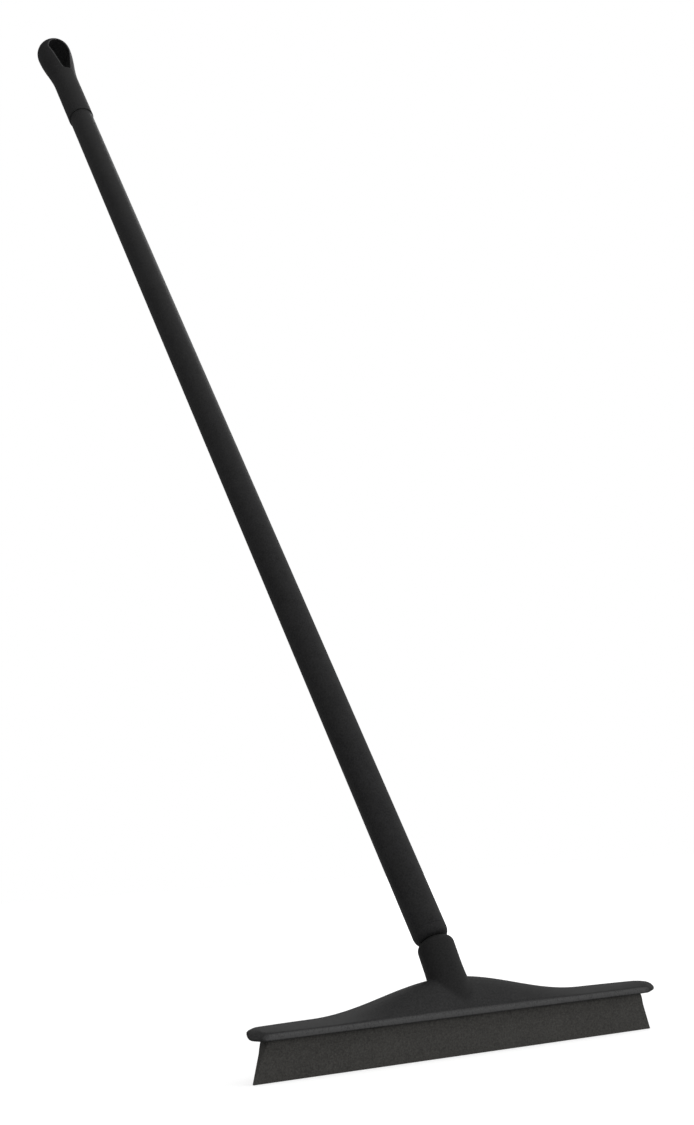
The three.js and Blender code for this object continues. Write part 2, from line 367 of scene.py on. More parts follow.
def finished(bm: Skin, name: str, crease: float) -> Piece:
    """Brings a skin to metres and makes it an object at the origin.

    Args:
        bm: The skin in millimetres, which is freed.
        name: The piece's name.
        crease: Edges that turn more than this, in degrees, stay sharp.

    Returns:
        The new object.
    """
    bmesh.ops.scale(bm, vec=(MM, MM, MM), verts=bm.verts)
    mesh = meshed(bm, name)
    mesh.polygons.foreach_set("use_smooth", [True] * len(mesh.polygons))
    mesh.set_sharp_from_angle(angle=math.radians(crease))
    return shown(name, mesh)


# Finishes


def fed(tree: Tree, node: Node, inputs: Inputs) -> Node:
    """Sets the inputs of a node.

    Args:
        tree: The node tree.
        node: The node.
        inputs: A value, or a socket to link, for each input's name or number.

    Returns:
        The same node.
    """
    for name, value in inputs.items():
        if isinstance(value, Output):
            tree.links.new(value, node.inputs[name])
        else:
            node.inputs[name].default_value = value
    return node


def new_node(tree: Tree, kind: str, inputs: Inputs | None = None, **settings: object) -> Node:
    """Adds a node.

    Args:
        tree: The node tree.
        kind: The node's type.
        inputs: Its inputs, as values or sockets.
        settings: Its properties.

    Returns:
        The new node.
    """
    node = tree.nodes.new(kind)
    given(node, settings)
    return fed(tree, node, inputs or {})


def maths(tree: Tree, operation: Op, first: object, second: object, clamp: bool = False) -> Output:
    """Adds a Math node and gives its result, kept between 0 and 1 if it is clamped."""
    settings = {"operation": operation.value, "use_clamp": clamp}
    return new_node(tree, "ShaderNodeMath", {0: first, 1: second}, **settings).outputs[0]


def spread(tree: Tree, value: Output, low: float, high: float) -> Output:
    """Stretches the part of a value between two levels over 0 to 1."""
    inputs = {"Value": value, "From Min": low, "From Max": high}
    return new_node(tree, "ShaderNodeMapRange", inputs, clamp=True).outputs["Result"]


def between(tree: Tree, share: Output, low: float, high: float) -> Output:
    """Brings a share of 0 to 1 between two levels."""
    return maths(tree, Op.ADD, maths(tree, Op.MULTIPLY, share, high - low), low)


def overlaid(
    tree: Tree, below: object, colour: Colour, share: Output, blend: Blend = Blend.COVER,
) -> Output:
    """Lays a share of a colour over another colour.

    Args:
        tree: The node tree.
        below: The colour underneath, a socket or four numbers.
        colour: The colour laid over it.
        share: How much of it counts, from 0 to 1.
        blend: How it is laid.

    Returns:
        The mixed colour.
    """
    inputs = {MIX_SHARE: share, MIX_BELOW: below, MIX_OVER: (*colour, 1.0)}
    node = new_node(tree, "ShaderNodeMix", inputs, data_type="RGBA", blend_type=blend.value)
    return node.outputs[MIX_RESULT]


@dataclass(frozen=True)
class Noise:
    """A noise and the part of its values that counts."""

    detail: float
    roughness: float
    low: float
    high: float

    def value(self, tree: Tree, vector: Output, scale: object) -> Output:
        """Adds the noise, read at a place with so many repeats in a metre."""
        inputs = {"Vector": vector, "Scale": scale, "Detail": self.detail, "Roughness": self.roughness}
        return new_node(tree, "ShaderNodeTexNoise", inputs, noise_dimensions="3D").outputs[0]

    def stretched(self, tree: Tree, value: Output) -> Output:
        """Stretches the part of the noise that counts over 0 to 1."""
        return spread(tree, value, self.low, self.high)


FINE = Noise(3.0, 0.6, 0.32, 0.68)
CLOUD = Noise(4.0, 0.6, 0.3, 0.7)
RUBS = Noise(2.0, 0.5, 0.64, 0.72)
PATCHES = Noise(2.0, 0.5, 0.5, 0.7)
BROKEN = Noise(4.0, 0.7, 0.35, 0.7)
FINE_WEIGHT = 0.84
CLOUD_WEIGHT = 0.16
PATCH_SIZE = 14.0
RUB_STRETCH = (0.16, 1.0, 1.9)
RUB_TURN = (0.5, 0.35, 0.8)
EDGE_BAND = (0.52, 0.6)


@dataclass(frozen=True)
class Effect:
    """A shared effect: a node group with named inputs and outputs, built once."""

    name: str
    inputs: tuple[tuple[str, float], ...]
    outputs: tuple[str, ...]

    def tree(self) -> tuple[Tree, Node, Node]:
        """Makes the group's tree.

        Returns:
            The tree with its input and output nodes.
        """
        tree = bpy.data.node_groups.new(self.name, "ShaderNodeTree")
        tree.interface.new_socket("Vector", in_out="INPUT", socket_type="NodeSocketVector")
        for name, value in self.inputs:
            socket = tree.interface.new_socket(name, in_out="INPUT", socket_type="NodeSocketFloat")
            socket.default_value = value
        for name in self.outputs:
            tree.interface.new_socket(name, in_out="OUTPUT", socket_type="NodeSocketFloat")
        return tree, new_node(tree, "NodeGroupInput"), new_node(tree, "NodeGroupOutput")

    def placed(self, tree: Tree, inputs: Inputs) -> Node:
        """Puts the group in a material."""
        return new_node(tree, "ShaderNodeGroup", inputs, node_tree=bpy.data.node_groups[self.name])


GRAIN = Effect("Moulded grain", (("Size", 400.0), ("Cloud size", 30.0)), ("Height", "Tone"))
SCUFFS = Effect("Scuffs", (("Size", 60.0), ("Amount", 0.3)), ("Mask",))
EDGES = Effect("Worn edges", (("Amount", 0.5), ("Size", 90.0)), ("Mask",))


def build_grain() -> None:
    """Builds the fine spark-eroded grain of a moulded surface and its soft clouds of tone."""
    tree, source, sink = GRAIN.tree()
    fine = FINE.value(tree, source.outputs["Vector"], source.outputs["Size"])
    cloud = CLOUD.value(tree, source.outputs["Vector"], source.outputs["Cloud size"])
    specks = maths(tree, Op.MULTIPLY, FINE.stretched(tree, fine), FINE_WEIGHT)
    clouds = maths(tree, Op.MULTIPLY, CLOUD.stretched(tree, cloud), CLOUD_WEIGHT)
    fed(tree, sink, {"Height": fine, "Tone": maths(tree, Op.ADD, specks, clouds)})


def build_scuffs() -> None:
    """Builds thin short rubs that lie mostly one way, in patches."""
    tree, source, sink = SCUFFS.tree()
    inputs = {"Vector": source.outputs["Vector"], "Scale": RUB_STRETCH, "Rotation": RUB_TURN}
    along = new_node(tree, "ShaderNodeMapping", inputs).outputs[0]
    lines = RUBS.stretched(tree, RUBS.value(tree, along, source.outputs["Size"]))
    patches = PATCHES.stretched(tree, PATCHES.value(tree, source.outputs["Vector"], PATCH_SIZE))
    mask = maths(tree, Op.MULTIPLY, lines, patches)
    fed(tree, sink, {"Mask": maths(tree, Op.MULTIPLY, mask, source.outputs["Amount"], clamp=True)})


def build_edges() -> None:
    """Builds the mask of outer edges that hands and walls have rubbed."""
    tree, source, sink = EDGES.tree()
    edge = spread(tree, new_node(tree, "ShaderNodeNewGeometry").outputs["Pointiness"], *EDGE_BAND)
    broken = BROKEN.stretched(tree, BROKEN.value(tree, source.outputs["Vector"], source.outputs["Size"]))
    mask = maths(tree, Op.MULTIPLY, edge, broken)
    fed(tree, sink, {"Mask": maths(tree, Op.MULTIPLY, mask, source.outputs["Amount"], clamp=True)})


@dataclass(frozen=True)
class Surface:
    """What a finish paints: the place on the piece, its uneven tone and the mask of what is rubbed."""

    tree: Tree
    vector: Output
    tone: Output
    rubbed: Output

    def share(self, name: str) -> Output:
        """Reads a share that the piece's vertices carry."""
        return new_node(self.tree, "ShaderNodeAttribute", attribute_name=name).outputs["Fac"]


@dataclass(frozen=True)
class Finish:
    """A procedural finish of one of the squeegee's materials.

    Colours are linear. Texture sizes are repeats in a metre.
    """

    name: str
    slot: str
    colour: Colour
    roughness: float
    specular: float = 0.35
    metallic: float = 0.0
    grain: float = 450.0
    grain_depth: float = 0.00004
    grain_strength: float = 0.6
    cloud: float = 35.0
    tone: float = 0.25
    scuffs: float = 0.25
    wear: float = 0.35
    rub_gain: float = 2.4
    rub_lift: float = 0.012
    rub_polish: float = 0.12
    uneven: float = 0.1
    patch_lift: float = 0.5

    def material(self) -> bpy.types.Material:
        """Builds the material.

        Returns:
            The new material, or the one that was built before.
        """
        if self.name in bpy.data.materials:
            return bpy.data.materials[self.name]
        material = bpy.data.materials.new(self.name)
        material.use_nodes = True
        tree = material.node_tree
        vector = new_node(tree, "ShaderNodeTexCoord").outputs["Object"]
        grain = GRAIN.placed(tree, {"Vector": vector, "Size": self.grain, "Cloud size": self.cloud})
        scuffs = SCUFFS.placed(tree, {"Vector": vector, "Amount": self.scuffs})
        edges = EDGES.placed(tree, {"Vector": vector, "Amount": self.wear})
        rubbed = maths(tree, Op.MAXIMUM, scuffs.outputs["Mask"], edges.outputs["Mask"])
        tone = grain.outputs["Tone"]
        rough = between(tree, tone, self.roughness - self.uneven / 2, self.roughness + self.uneven / 2)
        polish = maths(tree, Op.MULTIPLY, rubbed, self.rub_polish)
        height = grain.outputs["Height"]
        relief = {"Strength": self.grain_strength, "Distance": self.grain_depth, "Height": height}
        fed(tree, tree.nodes["Principled BSDF"], {
            "Base Color": self.painted(Surface(tree, vector, tone, rubbed)),
            "Metallic": self.metallic,
            "Specular IOR Level": self.specular,
            "Roughness": maths(tree, Op.SUBTRACT, rough, polish, clamp=True),
            "Normal": new_node(tree, "ShaderNodeBump", relief).outputs["Normal"],
        })
        return material

    def painted(self, surface: Surface) -> Output:
        """Mixes the colour of the surface.

        Args:
            surface: The surface.

        Returns:
            The colour.
        """
        low, high = (tuple(c * level for c in self.colour) for level in (1.0 - self.tone, 1.0 + self.tone))
        shade = overlaid(surface.tree, (*low, 1.0), high, surface.tone)
        worn = tuple(min(1.0, c * self.rub_gain + self.rub_lift) for c in self.colour)
        return overlaid(surface.tree, shade, worn, surface.rubbed)

    def patchy(self, surface: Surface, share: Output) -> Output:
        """Makes a share uneven with the tone of the surface."""
        uneven = maths(surface.tree, Op.ADD, surface.tone, self.patch_lift)
        return maths(surface.tree, Op.MULTIPLY, share, uneven, clamp=True)

    def dress(self, piece: Piece) -> None:
        """Gives a piece the finish.

        Args:
            piece: The piece.
        """
        piece.data.materials.clear()
        piece.data.materials.append(self.material())


@dataclass(frozen=True)
class HeadFinish(Finish):
    """A finish with a painted highlight along its front lip and painted shade on its socket. Places are in
    metres.
    """

    # Painted highlight: the lighter colour laid along the front lip's face, where light catches its rounded
    # edge.
    lip_highlight_colour: Colour = (0.07, 0.07, 0.0705)
    lip_behind: float = -0.0108
    lip_before: float = -0.0119
    lip_low: float = 0.0324
    lip_high: float = 0.0332
    # Painted shade: the socket is laid darker than the deck, though both are the same moulded plastic.
    painted_socket_shade: Colour = (0.6, 0.6, 0.6)
    painted_shade_share: str = "painted_shade_share"

    def painted(self, surface: Surface) -> Output:
        """Mixes the colour, lays painted shade on the socket and lays a painted highlight along the lip.

        Args:
            surface: The surface.

        Returns:
            The colour.
        """
        tree = surface.tree
        share = surface.share(self.painted_shade_share)
        below = overlaid(tree, super().painted(surface), self.painted_socket_shade, share, Blend.SHADE)
        split = new_node(tree, "ShaderNodeSeparateXYZ", {0: surface.vector}).outputs
        ahead = spread(tree, split["Y"], self.lip_behind, self.lip_before)
        above = spread(tree, split["Z"], self.lip_low, self.lip_high)
        highlight_strip = self.patchy(surface, maths(tree, Op.MULTIPLY, ahead, above))
        return overlaid(tree, below, self.lip_highlight_colour, highlight_strip)


@dataclass(frozen=True)
class CapFinish(Finish):
    """A finish whose hole has a painted highlight on its rim."""

    # Painted highlight: the lighter colour of the hole's rim, where light catches its rounded edge.
    rim_highlight_colour: Colour = (0.08, 0.08, 0.0805)
    rim_highlight_share: str = "rim_highlight_share"

    def painted(self, surface: Surface) -> Output:
        """Mixes the colour and lays the painted highlight on the rim."""
        share = self.patchy(surface, surface.share(self.rim_highlight_share))
        return overlaid(surface.tree, super().painted(surface), self.rim_highlight_colour, share)


HEAD_PLASTIC = HeadFinish(
    "Satin moulded head", "head_plastic", (0.0215, 0.0215, 0.0217), 0.52, specular=0.1, tone=0.45,
    grain=700.0,
)
BLADE_RUBBER = Finish(
    "Matt rubber", "blade_rubber", (0.0505, 0.049, 0.0456), 0.68, specular=0.15, tone=0.4, grain=700.0,
    wear=0.2, scuffs=0.15,
)
SLEEVE_PLASTIC = Finish(
    "Extruded grip", "sleeve_plastic", (0.013, 0.013, 0.0133), 0.5, specular=0.1, tone=0.6, grain=700.0,
)
# The cap's edge wear is set high, so its convex edges, the hole's rim among them, are lighter partly from
# wear and partly as a painted highlight.
CAP_PLASTIC = CapFinish(
    "Satin moulded cap", "cap_plastic", (0.0148, 0.0148, 0.0151), 0.52, specular=0.09, tone=0.5, grain=600.0,
    wear=0.9,
)
SCREW_PLASTIC = Finish(
    "Hard moulded screw", "thread_plastic", (0.015, 0.015, 0.0154), 0.5, specular=0.1, tone=0.5, grain=700.0,
)
TUBE_METAL = Finish(
    "Drawn aluminium", "tube_aluminium", (0.62, 0.63, 0.64), 0.34, specular=0.5, metallic=1.0, tone=0.06,
    grain=1500.0, grain_depth=0.00001, wear=0.0,
)


# The squeegee's pieces


@dataclass(frozen=True)
class HandleAxis:
    """Where the handle's axis runs. Heights along it start at the handle's seat on the socket."""

    lean: float = 33.4
    reference_height: float = 60.0
    reference_rear: float = 16.5
    seat_distance: float = 38.5

    def place(self) -> Matrix:
        """Works out where the handle stands.

        Returns:
            The turn and shift from the handle's own frame to the squeegee's.
        """
        lean = math.radians(self.lean)
        rear = self.reference_rear + self.seat_distance * math.sin(lean)
        height = self.reference_height + self.seat_distance * math.cos(lean)
        return Matrix.Translation((0.0, rear, height)) @ Matrix.Rotation(-lean, 4, "X")


PLACE = HandleAxis().place()


@dataclass
class ScrewThread:
    """The round screw thread that the socket and the handle share."""

    pitch: float = 5.0
    core: float = 9.0
    crest: float = 10.4
    root_width: float = 3.2
    crest_width: float = 1.8
    sink: float = 0.8
    start: float = 4.0
    length: float = 26.0
    fade: float = 3.0
    fade_lead: float = 0.15
    faded_share: float = 0.2
    clearance: float = 0.4
    steps: int = 40

    def ridge(self, bottom: float, top: float, growth: float, fades: bool) -> Skin:
        """Spins the ridge up its helix.

        Args:
            bottom: Height of the ridge's middle at its lower end.
            top: Height at its upper end.
            growth: How much fatter than the screw's own ridge it is.
            fades: Whether it sinks into the core at both ends.

        Returns:
            The closed ridge.
        """
        root, crest = self.core - self.sink, self.crest + growth
        low, high = self.root_width / 2 + growth, self.crest_width / 2 + growth
        bm = bmesh.new()
        corners = ((root, low), (crest, high), (crest, -high), (root, -low))
        face = bm.faces.new([bm.verts.new((radius, 0.0, bottom + height)) for radius, height in corners])
        turns = (top - bottom) / self.pitch
        steps = round(turns * self.steps)
        spun(bm, [face], TURN * turns, steps, rise=(top - bottom) / steps)
        if fades:
            self.faded(bm, bottom, top, root)
        started = Matrix.Rotation(TURN * bottom / self.pitch, 4, "Z")
        bmesh.ops.transform(bm, matrix=started, verts=bm.verts)
        return tidied(bm)

    def faded(self, bm: Skin, bottom: float, top: float, root: float) -> None:
        """Draws the crest of a ridge down to its root near both ends.

        Args:
            bm: The ridge.
            bottom: Height of its lower end.
            top: Height of its upper end.
            root: Radius of its root.
        """
        for vert in bm.verts:
            radius = math.hypot(vert.co.x, vert.co.y)
            inside = max(0.0, min(vert.co.z - bottom, top - vert.co.z))
            share = rounded(inside + self.fade_lead, self.fade)
            kept = root + (radius - root) * min(1.0, max(self.faded_share, share))
            vert.co.x *= kept / radius
            vert.co.y *= kept / radius


THREAD = ScrewThread()


@dataclass
class SqueegeeHead:
    """The one-piece moulded head: a bow-shaped deck with a conical screw socket."""

    half_length: float = 205.0
    nose_line: float = -4.6
    front: float = -12.0
    corner_run: float = 20.0
    rear: float = 32.5
    crown_half_length: float = 218.5
    lip_underside: float = 32.0
    lip_top: float = 37.6
    crown_rise: float = 4.6
    ridge_share: float = 0.7
    crown_rear_share: float = 0.6
    saddle_rise: float = 20.4
    saddle_half_width: float = 136.0
    saddle_rear_share: float = 0.25
    front_rim: float = 34.6
    rear_rim: float = 39.7
    rim_start: float = -8.9
    rim_span: float = 9.6
    lip_top_run: float = 2.4
    lip_under_run: float = 1.1
    lip_top_upright: float = 0.3
    lip_under_upright: float = 0.6
    nose_top_run: float = 15.0
    nose_under_run: float = 18.0
    nose_span: float = 12.0
    rear_under_rise: float = 4.5
    under_flat: float = 0.45
    spine_half: float = 190.0
    rim_radius: float = 9.3
    socket_radius: float = 16.6
    rim_run: float = 6.5
    rim_steps: int = 10
    body_run: float = 22.0
    body_steps: int = 24
    foot_radius: float = 19.5
    foot_run: float = 28.0
    foot_fade: float = 2.2
    foot_reaches: tuple[float, ...] = (2.2, 1.5)
    foot_rounds: int = 6
    socket_length: float = 70.0
    socket_steps: int = 96
    seat_gap: float = 0.3
    drift_angle: float = 6.9
    socket_floor: float = 38.0
    shade_floor: float = 39.0
    bore_depth: float = 38.0
    bore_lead: float = 1.2
    bore_overrun: float = 3.0
    groove_overrun: float = 1.0
    channel_radius: float = 6.8
    channel_height: float = 31.2
    channel_half: float = 189.3
    channel_steps: int = 64
    voxel: float = 0.95
    crease: float = 48.0
    stations: int = 150
    ring_shares: tuple[float, ...] = (
        0.0, 0.004, 0.012, 0.024, 0.04, 0.06, 0.085, 0.115, 0.15, 0.2, 0.26, 0.34, 0.44, 0.56, 0.7, 0.85, 1.0,
    )

    def front_at(self, x: float) -> float:
        """The deck's front edge at a place along the blade."""
        past = max(0.0, abs(x) - (self.half_length - self.corner_run)) / self.corner_run
        return self.nose_line - (self.nose_line - self.front) * math.sqrt(max(0.0, 1.0 - past * past))

    def bow_at(self, x: float, half: float) -> float:
        """The rear edge of a bow with a given half length."""
        return self.nose_line + (self.rear - self.nose_line) * math.sqrt(max(0.0, 1.0 - (x / half) ** 2))

    def crown_share_at(self, x: float, y: float) -> float:
        """How far back a point of the deck lies, from the lip at 0 to the rear edge at 1."""
        return (y - self.front) / (self.bow_at(x, self.crown_half_length) - self.front)

    def rise_at(self, share: float, rear_share: float) -> float:
        """Works out how far the deck has risen between the lip and the rear edge.

        Args:
            share: How far back the place lies.
            rear_share: The share of the rise that is left at the rear edge.

        Returns:
            The share of the full rise.
        """
        if share < self.ridge_share:
            return math.sin(QUARTER * share / self.ridge_share)
        past = (share - self.ridge_share) / (1.0 - self.ridge_share)
        return 1.0 - (1.0 - rear_share) * past * past

    def top_at(self, x: float, y: float) -> float:
        """Works out the height of the deck's upper face.

        Args:
            x: Place along the blade.
            y: Place across it.

        Returns:
            The height.
        """
        share = self.crown_share_at(x, y)
        along = min(1.0, abs(x) / self.saddle_half_width)
        saddle = self.saddle_rise * (1.0 + math.cos(math.pi * along)) / 2
        crown = self.crown_rise * self.rise_at(share, self.crown_rear_share)
        return self.lip_top + crown + saddle * self.rise_at(share, self.saddle_rear_share)

    def underside_at(self, x: float, y: float) -> float:
        """Height of the deck's lower face."""
        past = max(0.0, self.crown_share_at(x, y) - self.under_flat) / (1.0 - self.under_flat)
        return self.lip_underside + self.rear_under_rise * past * past

    def rim_at(self, y: float) -> float:
        """Height of the rim's middle line, which climbs round the noses from the lip to the rear."""
        climbed = blended((y - self.rim_start) / self.rim_span)
        return self.front_rim + (self.rear_rim - self.front_rim) * climbed

    def outline(self) -> list[Point]:
        """Draws the deck's outline in plan, with the same places along X in front and behind.

        Returns:
            The outline's points.
        """
        places = [self.half_length * math.cos(math.pi * i / self.stations) for i in range(self.stations + 1)]
        rear = [(x, self.bow_at(x, self.half_length)) for x in places]
        return rear + [(x, self.front_at(x)) for x in reversed(places[1:-1])]

    def ring(self, share: float, upper: bool) -> list[Vector]:
        """Draws one ring of the deck, part of the way in from its rim.

        Args:
            share: 0 at the rim and 1 at the ridge.
            upper: Whether the ring lies on the upper face.

        Returns:
            The ring's points.
        """
        edge = self.lip_top_run if upper else self.lip_under_run
        full = self.nose_top_run if upper else self.nose_under_run
        points = []
        for x, y in self.outline():
            ridge_x = x * self.spine_half / self.half_length
            rear = self.bow_at(ridge_x, self.crown_half_length)
            ridge_y = self.front + self.ridge_share * (rear - self.front)
            inwards = Vector((ridge_x - x, ridge_y - y))
            step = inwards * share
            place = Vector((x, y)) + step
            nose = blended((abs(x) - (self.half_length - self.nose_span)) / self.nose_span)
            run = min(edge + (full - edge) * nose, inwards.length)
            rim = self.rim_at(y)
            upright = (self.lip_top_upright if upper else self.lip_under_upright) * (1.0 - nose)
            lifted = upright + (1.0 - upright) * rounded(step.length, run)
            face = self.top_at(*place) if upper else self.underside_at(*place)
            points.append(Vector((*place, rim + (face - rim) * lifted)))
        return points

    def deck(self) -> Skin:
        """Draws the deck as rings from the lower ridge line round the rim to the upper one.

        Returns:
            The closed deck.
        """
        lower = [self.ring(share, False) for share in reversed(self.ring_shares)]
        upper = [self.ring(share, True) for share in self.ring_shares]
        return tidied(skin(lower + upper))

    def front_radius_at(self, depth: float) -> float:
        """The socket's radius in front, at a depth below its rim."""
        return self.rim_radius + (self.socket_radius - self.rim_radius) * rounded(depth, self.rim_run)

    def flare_at(self, depth: float) -> float:
        """How much wider the sides and back are than the front."""
        past = min(1.0, max(0.0, depth - self.body_run) / self.foot_run)
        return (self.foot_radius - self.socket_radius) * past * past

    def drift_at(self, depth: float) -> float:
        """How far back the socket's middle has drifted from the handle's axis."""
        return max(0.0, depth - self.rim_run) * math.tan(math.radians(self.drift_angle))

    def socket_ring(self, depth: float) -> list[Vector]:
        """Draws one ring of the socket, square to the handle.

        Args:
            depth: How far it lies below the socket's rim.

        Returns:
            The ring's points.
        """
        front = self.front_radius_at(depth)
        wide = front + self.flare_at(depth)
        points = []
        for i in range(self.socket_steps):
            angle = TURN * i / self.socket_steps
            back = (wide if angle < math.pi else front) * math.sin(angle)
            across = self.drift_at(depth) + back
            points.append(Vector((wide * math.cos(angle), across, -self.seat_gap - depth)))
        return points

    def socket(self) -> Skin:
        """Draws the socket, cut level inside the deck.

        Returns:
            The closed socket.
        """
        angles = [QUARTER * i / self.rim_steps for i in range(self.rim_steps)]
        depths = [self.rim_run * (1.0 - math.cos(angle)) for angle in angles]
        body = self.socket_length - self.rim_run
        depths += [self.rim_run + body * i / self.body_steps for i in range(self.body_steps + 1)]
        bm = skin([self.socket_ring(depth) for depth in depths], capped=True)
        bmesh.ops.transform(bm, matrix=PLACE, verts=bm.verts)
        cut = bmesh.ops.bisect_plane(
            bm, geom=[*bm.verts, *bm.edges, *bm.faces], plane_co=(0, 0, self.socket_floor),
            plane_no=(0, 0, 1), clear_inner=True,
        )
        rim = [item for item in cut["geom_cut"] if isinstance(item, bmesh.types.BMEdge)]
        bmesh.ops.edgeloop_fill(bm, edges=rim)
        return tidied(bm)

    def socket_gap(self, point: Vector) -> float:
        """Works out how far a point lies from the socket's skin.

        Args:
            point: The point.

        Returns:
            The distance outwards, which is negative inside.
        """
        local = PLACE.inverted() @ point
        depth = max(0.0, -self.seat_gap - local.z)
        drift = self.drift_at(depth)
        front = self.front_radius_at(depth)
        wide = front + self.flare_at(depth)
        along = (local.y - drift) / (wide if local.y > drift else front)
        return (math.hypot(local.x / wide, along) - 1.0) * front

    def painted_shade_share(self, point: Vector) -> float:
        """Works out how much of the socket's painted shade a point of the skin gets.

        Args:
            point: The point.

        Returns:
            A share from 0 on the deck to 1 on the socket.
        """
        if point.z < self.shade_floor:
            return 0.0
        return blended((self.foot_fade - self.socket_gap(point)) / self.foot_fade)

    def foot_distance(self, point: Vector) -> float:
        """Works out how far a point of the skin is from the corner between socket and deck.

        Args:
            point: The point.

        Returns:
            The distance, without end below the deck and at the socket's rim.
        """
        if point.z < self.lip_top or (PLACE.inverted() @ point).z > -self.rim_run:
            return math.inf
        return max(abs(self.socket_gap(point)), abs(point.z - self.top_at(point.x, point.y)))

    def bore(self) -> Skin:
        """Draws the threaded bore.

        Returns:
            The cutter.
        """
        radius = THREAD.core + THREAD.clearance
        wide = radius + self.bore_lead + self.bore_overrun
        bottom, top = -self.seat_gap - self.bore_depth, self.bore_overrun
        profile = [(0.0, bottom), (radius, bottom), (radius, -self.bore_lead), (wide, top), (0.0, top)]
        start = -THREAD.start - THREAD.length - THREAD.pitch / 2
        groove = THREAD.ridge(start, self.groove_overrun, THREAD.clearance, False)
        bm = combined(turned(profile, self.socket_steps), groove, Cut.JOIN)
        bmesh.ops.transform(bm, matrix=PLACE, verts=bm.verts)
        return bm

    def channel(self) -> Skin:
        """Draws the round channel that the blade's root lies in.

        Returns:
            The cutter.
        """
        bm = bmesh.new()
        bmesh.ops.create_cone(
            bm, cap_ends=True, segments=self.channel_steps, radius1=self.channel_radius,
            radius2=self.channel_radius, depth=2 * self.channel_half,
        )
        place = Matrix.Translation((0, 0, self.channel_height)) @ Matrix.Rotation(QUARTER, 4, "Y")
        bmesh.ops.transform(bm, matrix=place, verts=bm.verts)
        return bm

    def build(self) -> Piece:
        """Fuses deck and socket, rounds their corner and cuts the bore and the channel.

        Returns:
            The head.
        """
        bm = self.deck()
        socket = meshed(self.socket(), "socket")
        bm.from_mesh(socket)
        bpy.data.meshes.remove(socket)
        bm = remeshed(bm, self.voxel)
        softened(bm, self.foot_distance, self.foot_reaches, self.foot_rounds)
        bm = combined(bm, self.channel(), Cut.REMOVE)
        bm = combined(bm, self.bore(), Cut.REMOVE)
        # The share of the socket's painted shade is kept on the vertices for the finish to read.
        marked(bm, HEAD_PLASTIC.painted_shade_share, self.painted_shade_share)
        piece = finished(bm, "squeegee_head", self.crease)
        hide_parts("head_body")
        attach(piece, Body.HEAD.value)
        HEAD_PLASTIC.dress(piece)
        return piece


@dataclass
class WiperBlade:
    """The tapered rubber blade, from its root down to its floor edge."""

    edge_width: float = 400.0
    root_width: float = 377.0
    edge_thickness: float = 2.4
    neck_thickness: float = 8.6
    neck_height: float = 22.0
    root_radius: float = 6.5
    root_height: float = 31.2
    neck_swell: float = 1.0
    neck_curve: float = 3.6
    root_curve: float = 3.2
    edge_rounding: float = 0.45
    rounding_steps: int = 3
    rounds_over: float = 50.0
    bend_start: float = 27.0
    bend_end: float = 6.0
    rows: int = 16
    curve_steps: int = 10
    crease: float = 35.0

    def side(self) -> list[Point]:
        """Draws half of the blade's section, from the floor edge up to the top of the root.

        Returns:
            The points across and up.
        """
        edge, neck = self.edge_thickness / 2, self.neck_thickness / 2
        points = [
            (edge + (neck - edge) * i / self.rows, self.neck_height * i / self.rows) for i in range(self.rows)
        ]
        knots = (
            (neck, self.neck_height),
            (neck + self.neck_swell, self.neck_height + self.neck_curve),
            (self.root_radius, self.root_height - self.root_curve),
            (self.root_radius, self.root_height),
        )
        for i in range(self.curve_steps):
            t = i / self.curve_steps
            shares = ((1 - t) ** 3, 3 * t * (1 - t) ** 2, 3 * t * t * (1 - t), t ** 3)
            points.append(tuple(sum(s * knot[axis] for s, knot in zip(shares, knots)) for axis in (0, 1)))
        root = self.root_radius
        return points + arc((0.0, self.root_height), root, root, 0.0, QUARTER, self.curve_steps)

    def half_width_at(self, height: float) -> float:
        """Half of the blade's width at a height."""
        return (self.edge_width - (self.edge_width - self.root_width) * height / self.root_height) / 2

    def build(self) -> Piece:
        """Draws the section at both ends, bridges it and rounds the edges.

        Returns:
            The blade.
        """
        side = self.side()
        section = side + [(-y, z) for y, z in reversed(side[:-1])]
        rings = [[Vector((end * self.half_width_at(z), y, z)) for y, z in section] for end in (-1, 1)]
        bm = tidied(skin(rings, capped=True))
        limit = math.radians(self.rounds_over)
        sharp = [edge for edge in bm.edges if edge.is_manifold and edge.calc_face_angle() > limit]
        bmesh.ops.bevel(
            bm, geom=sharp, offset=self.edge_rounding, offset_type="OFFSET", segments=self.rounding_steps,
            profile=ROUND_PROFILE, affect="EDGES", material=-1, clamp_overlap=True,
        )
        piece = finished(bm, "wiper_blade", self.crease)
        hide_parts("blade")
        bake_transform(piece)
        BLADE_RUBBER.dress(piece)
        return piece


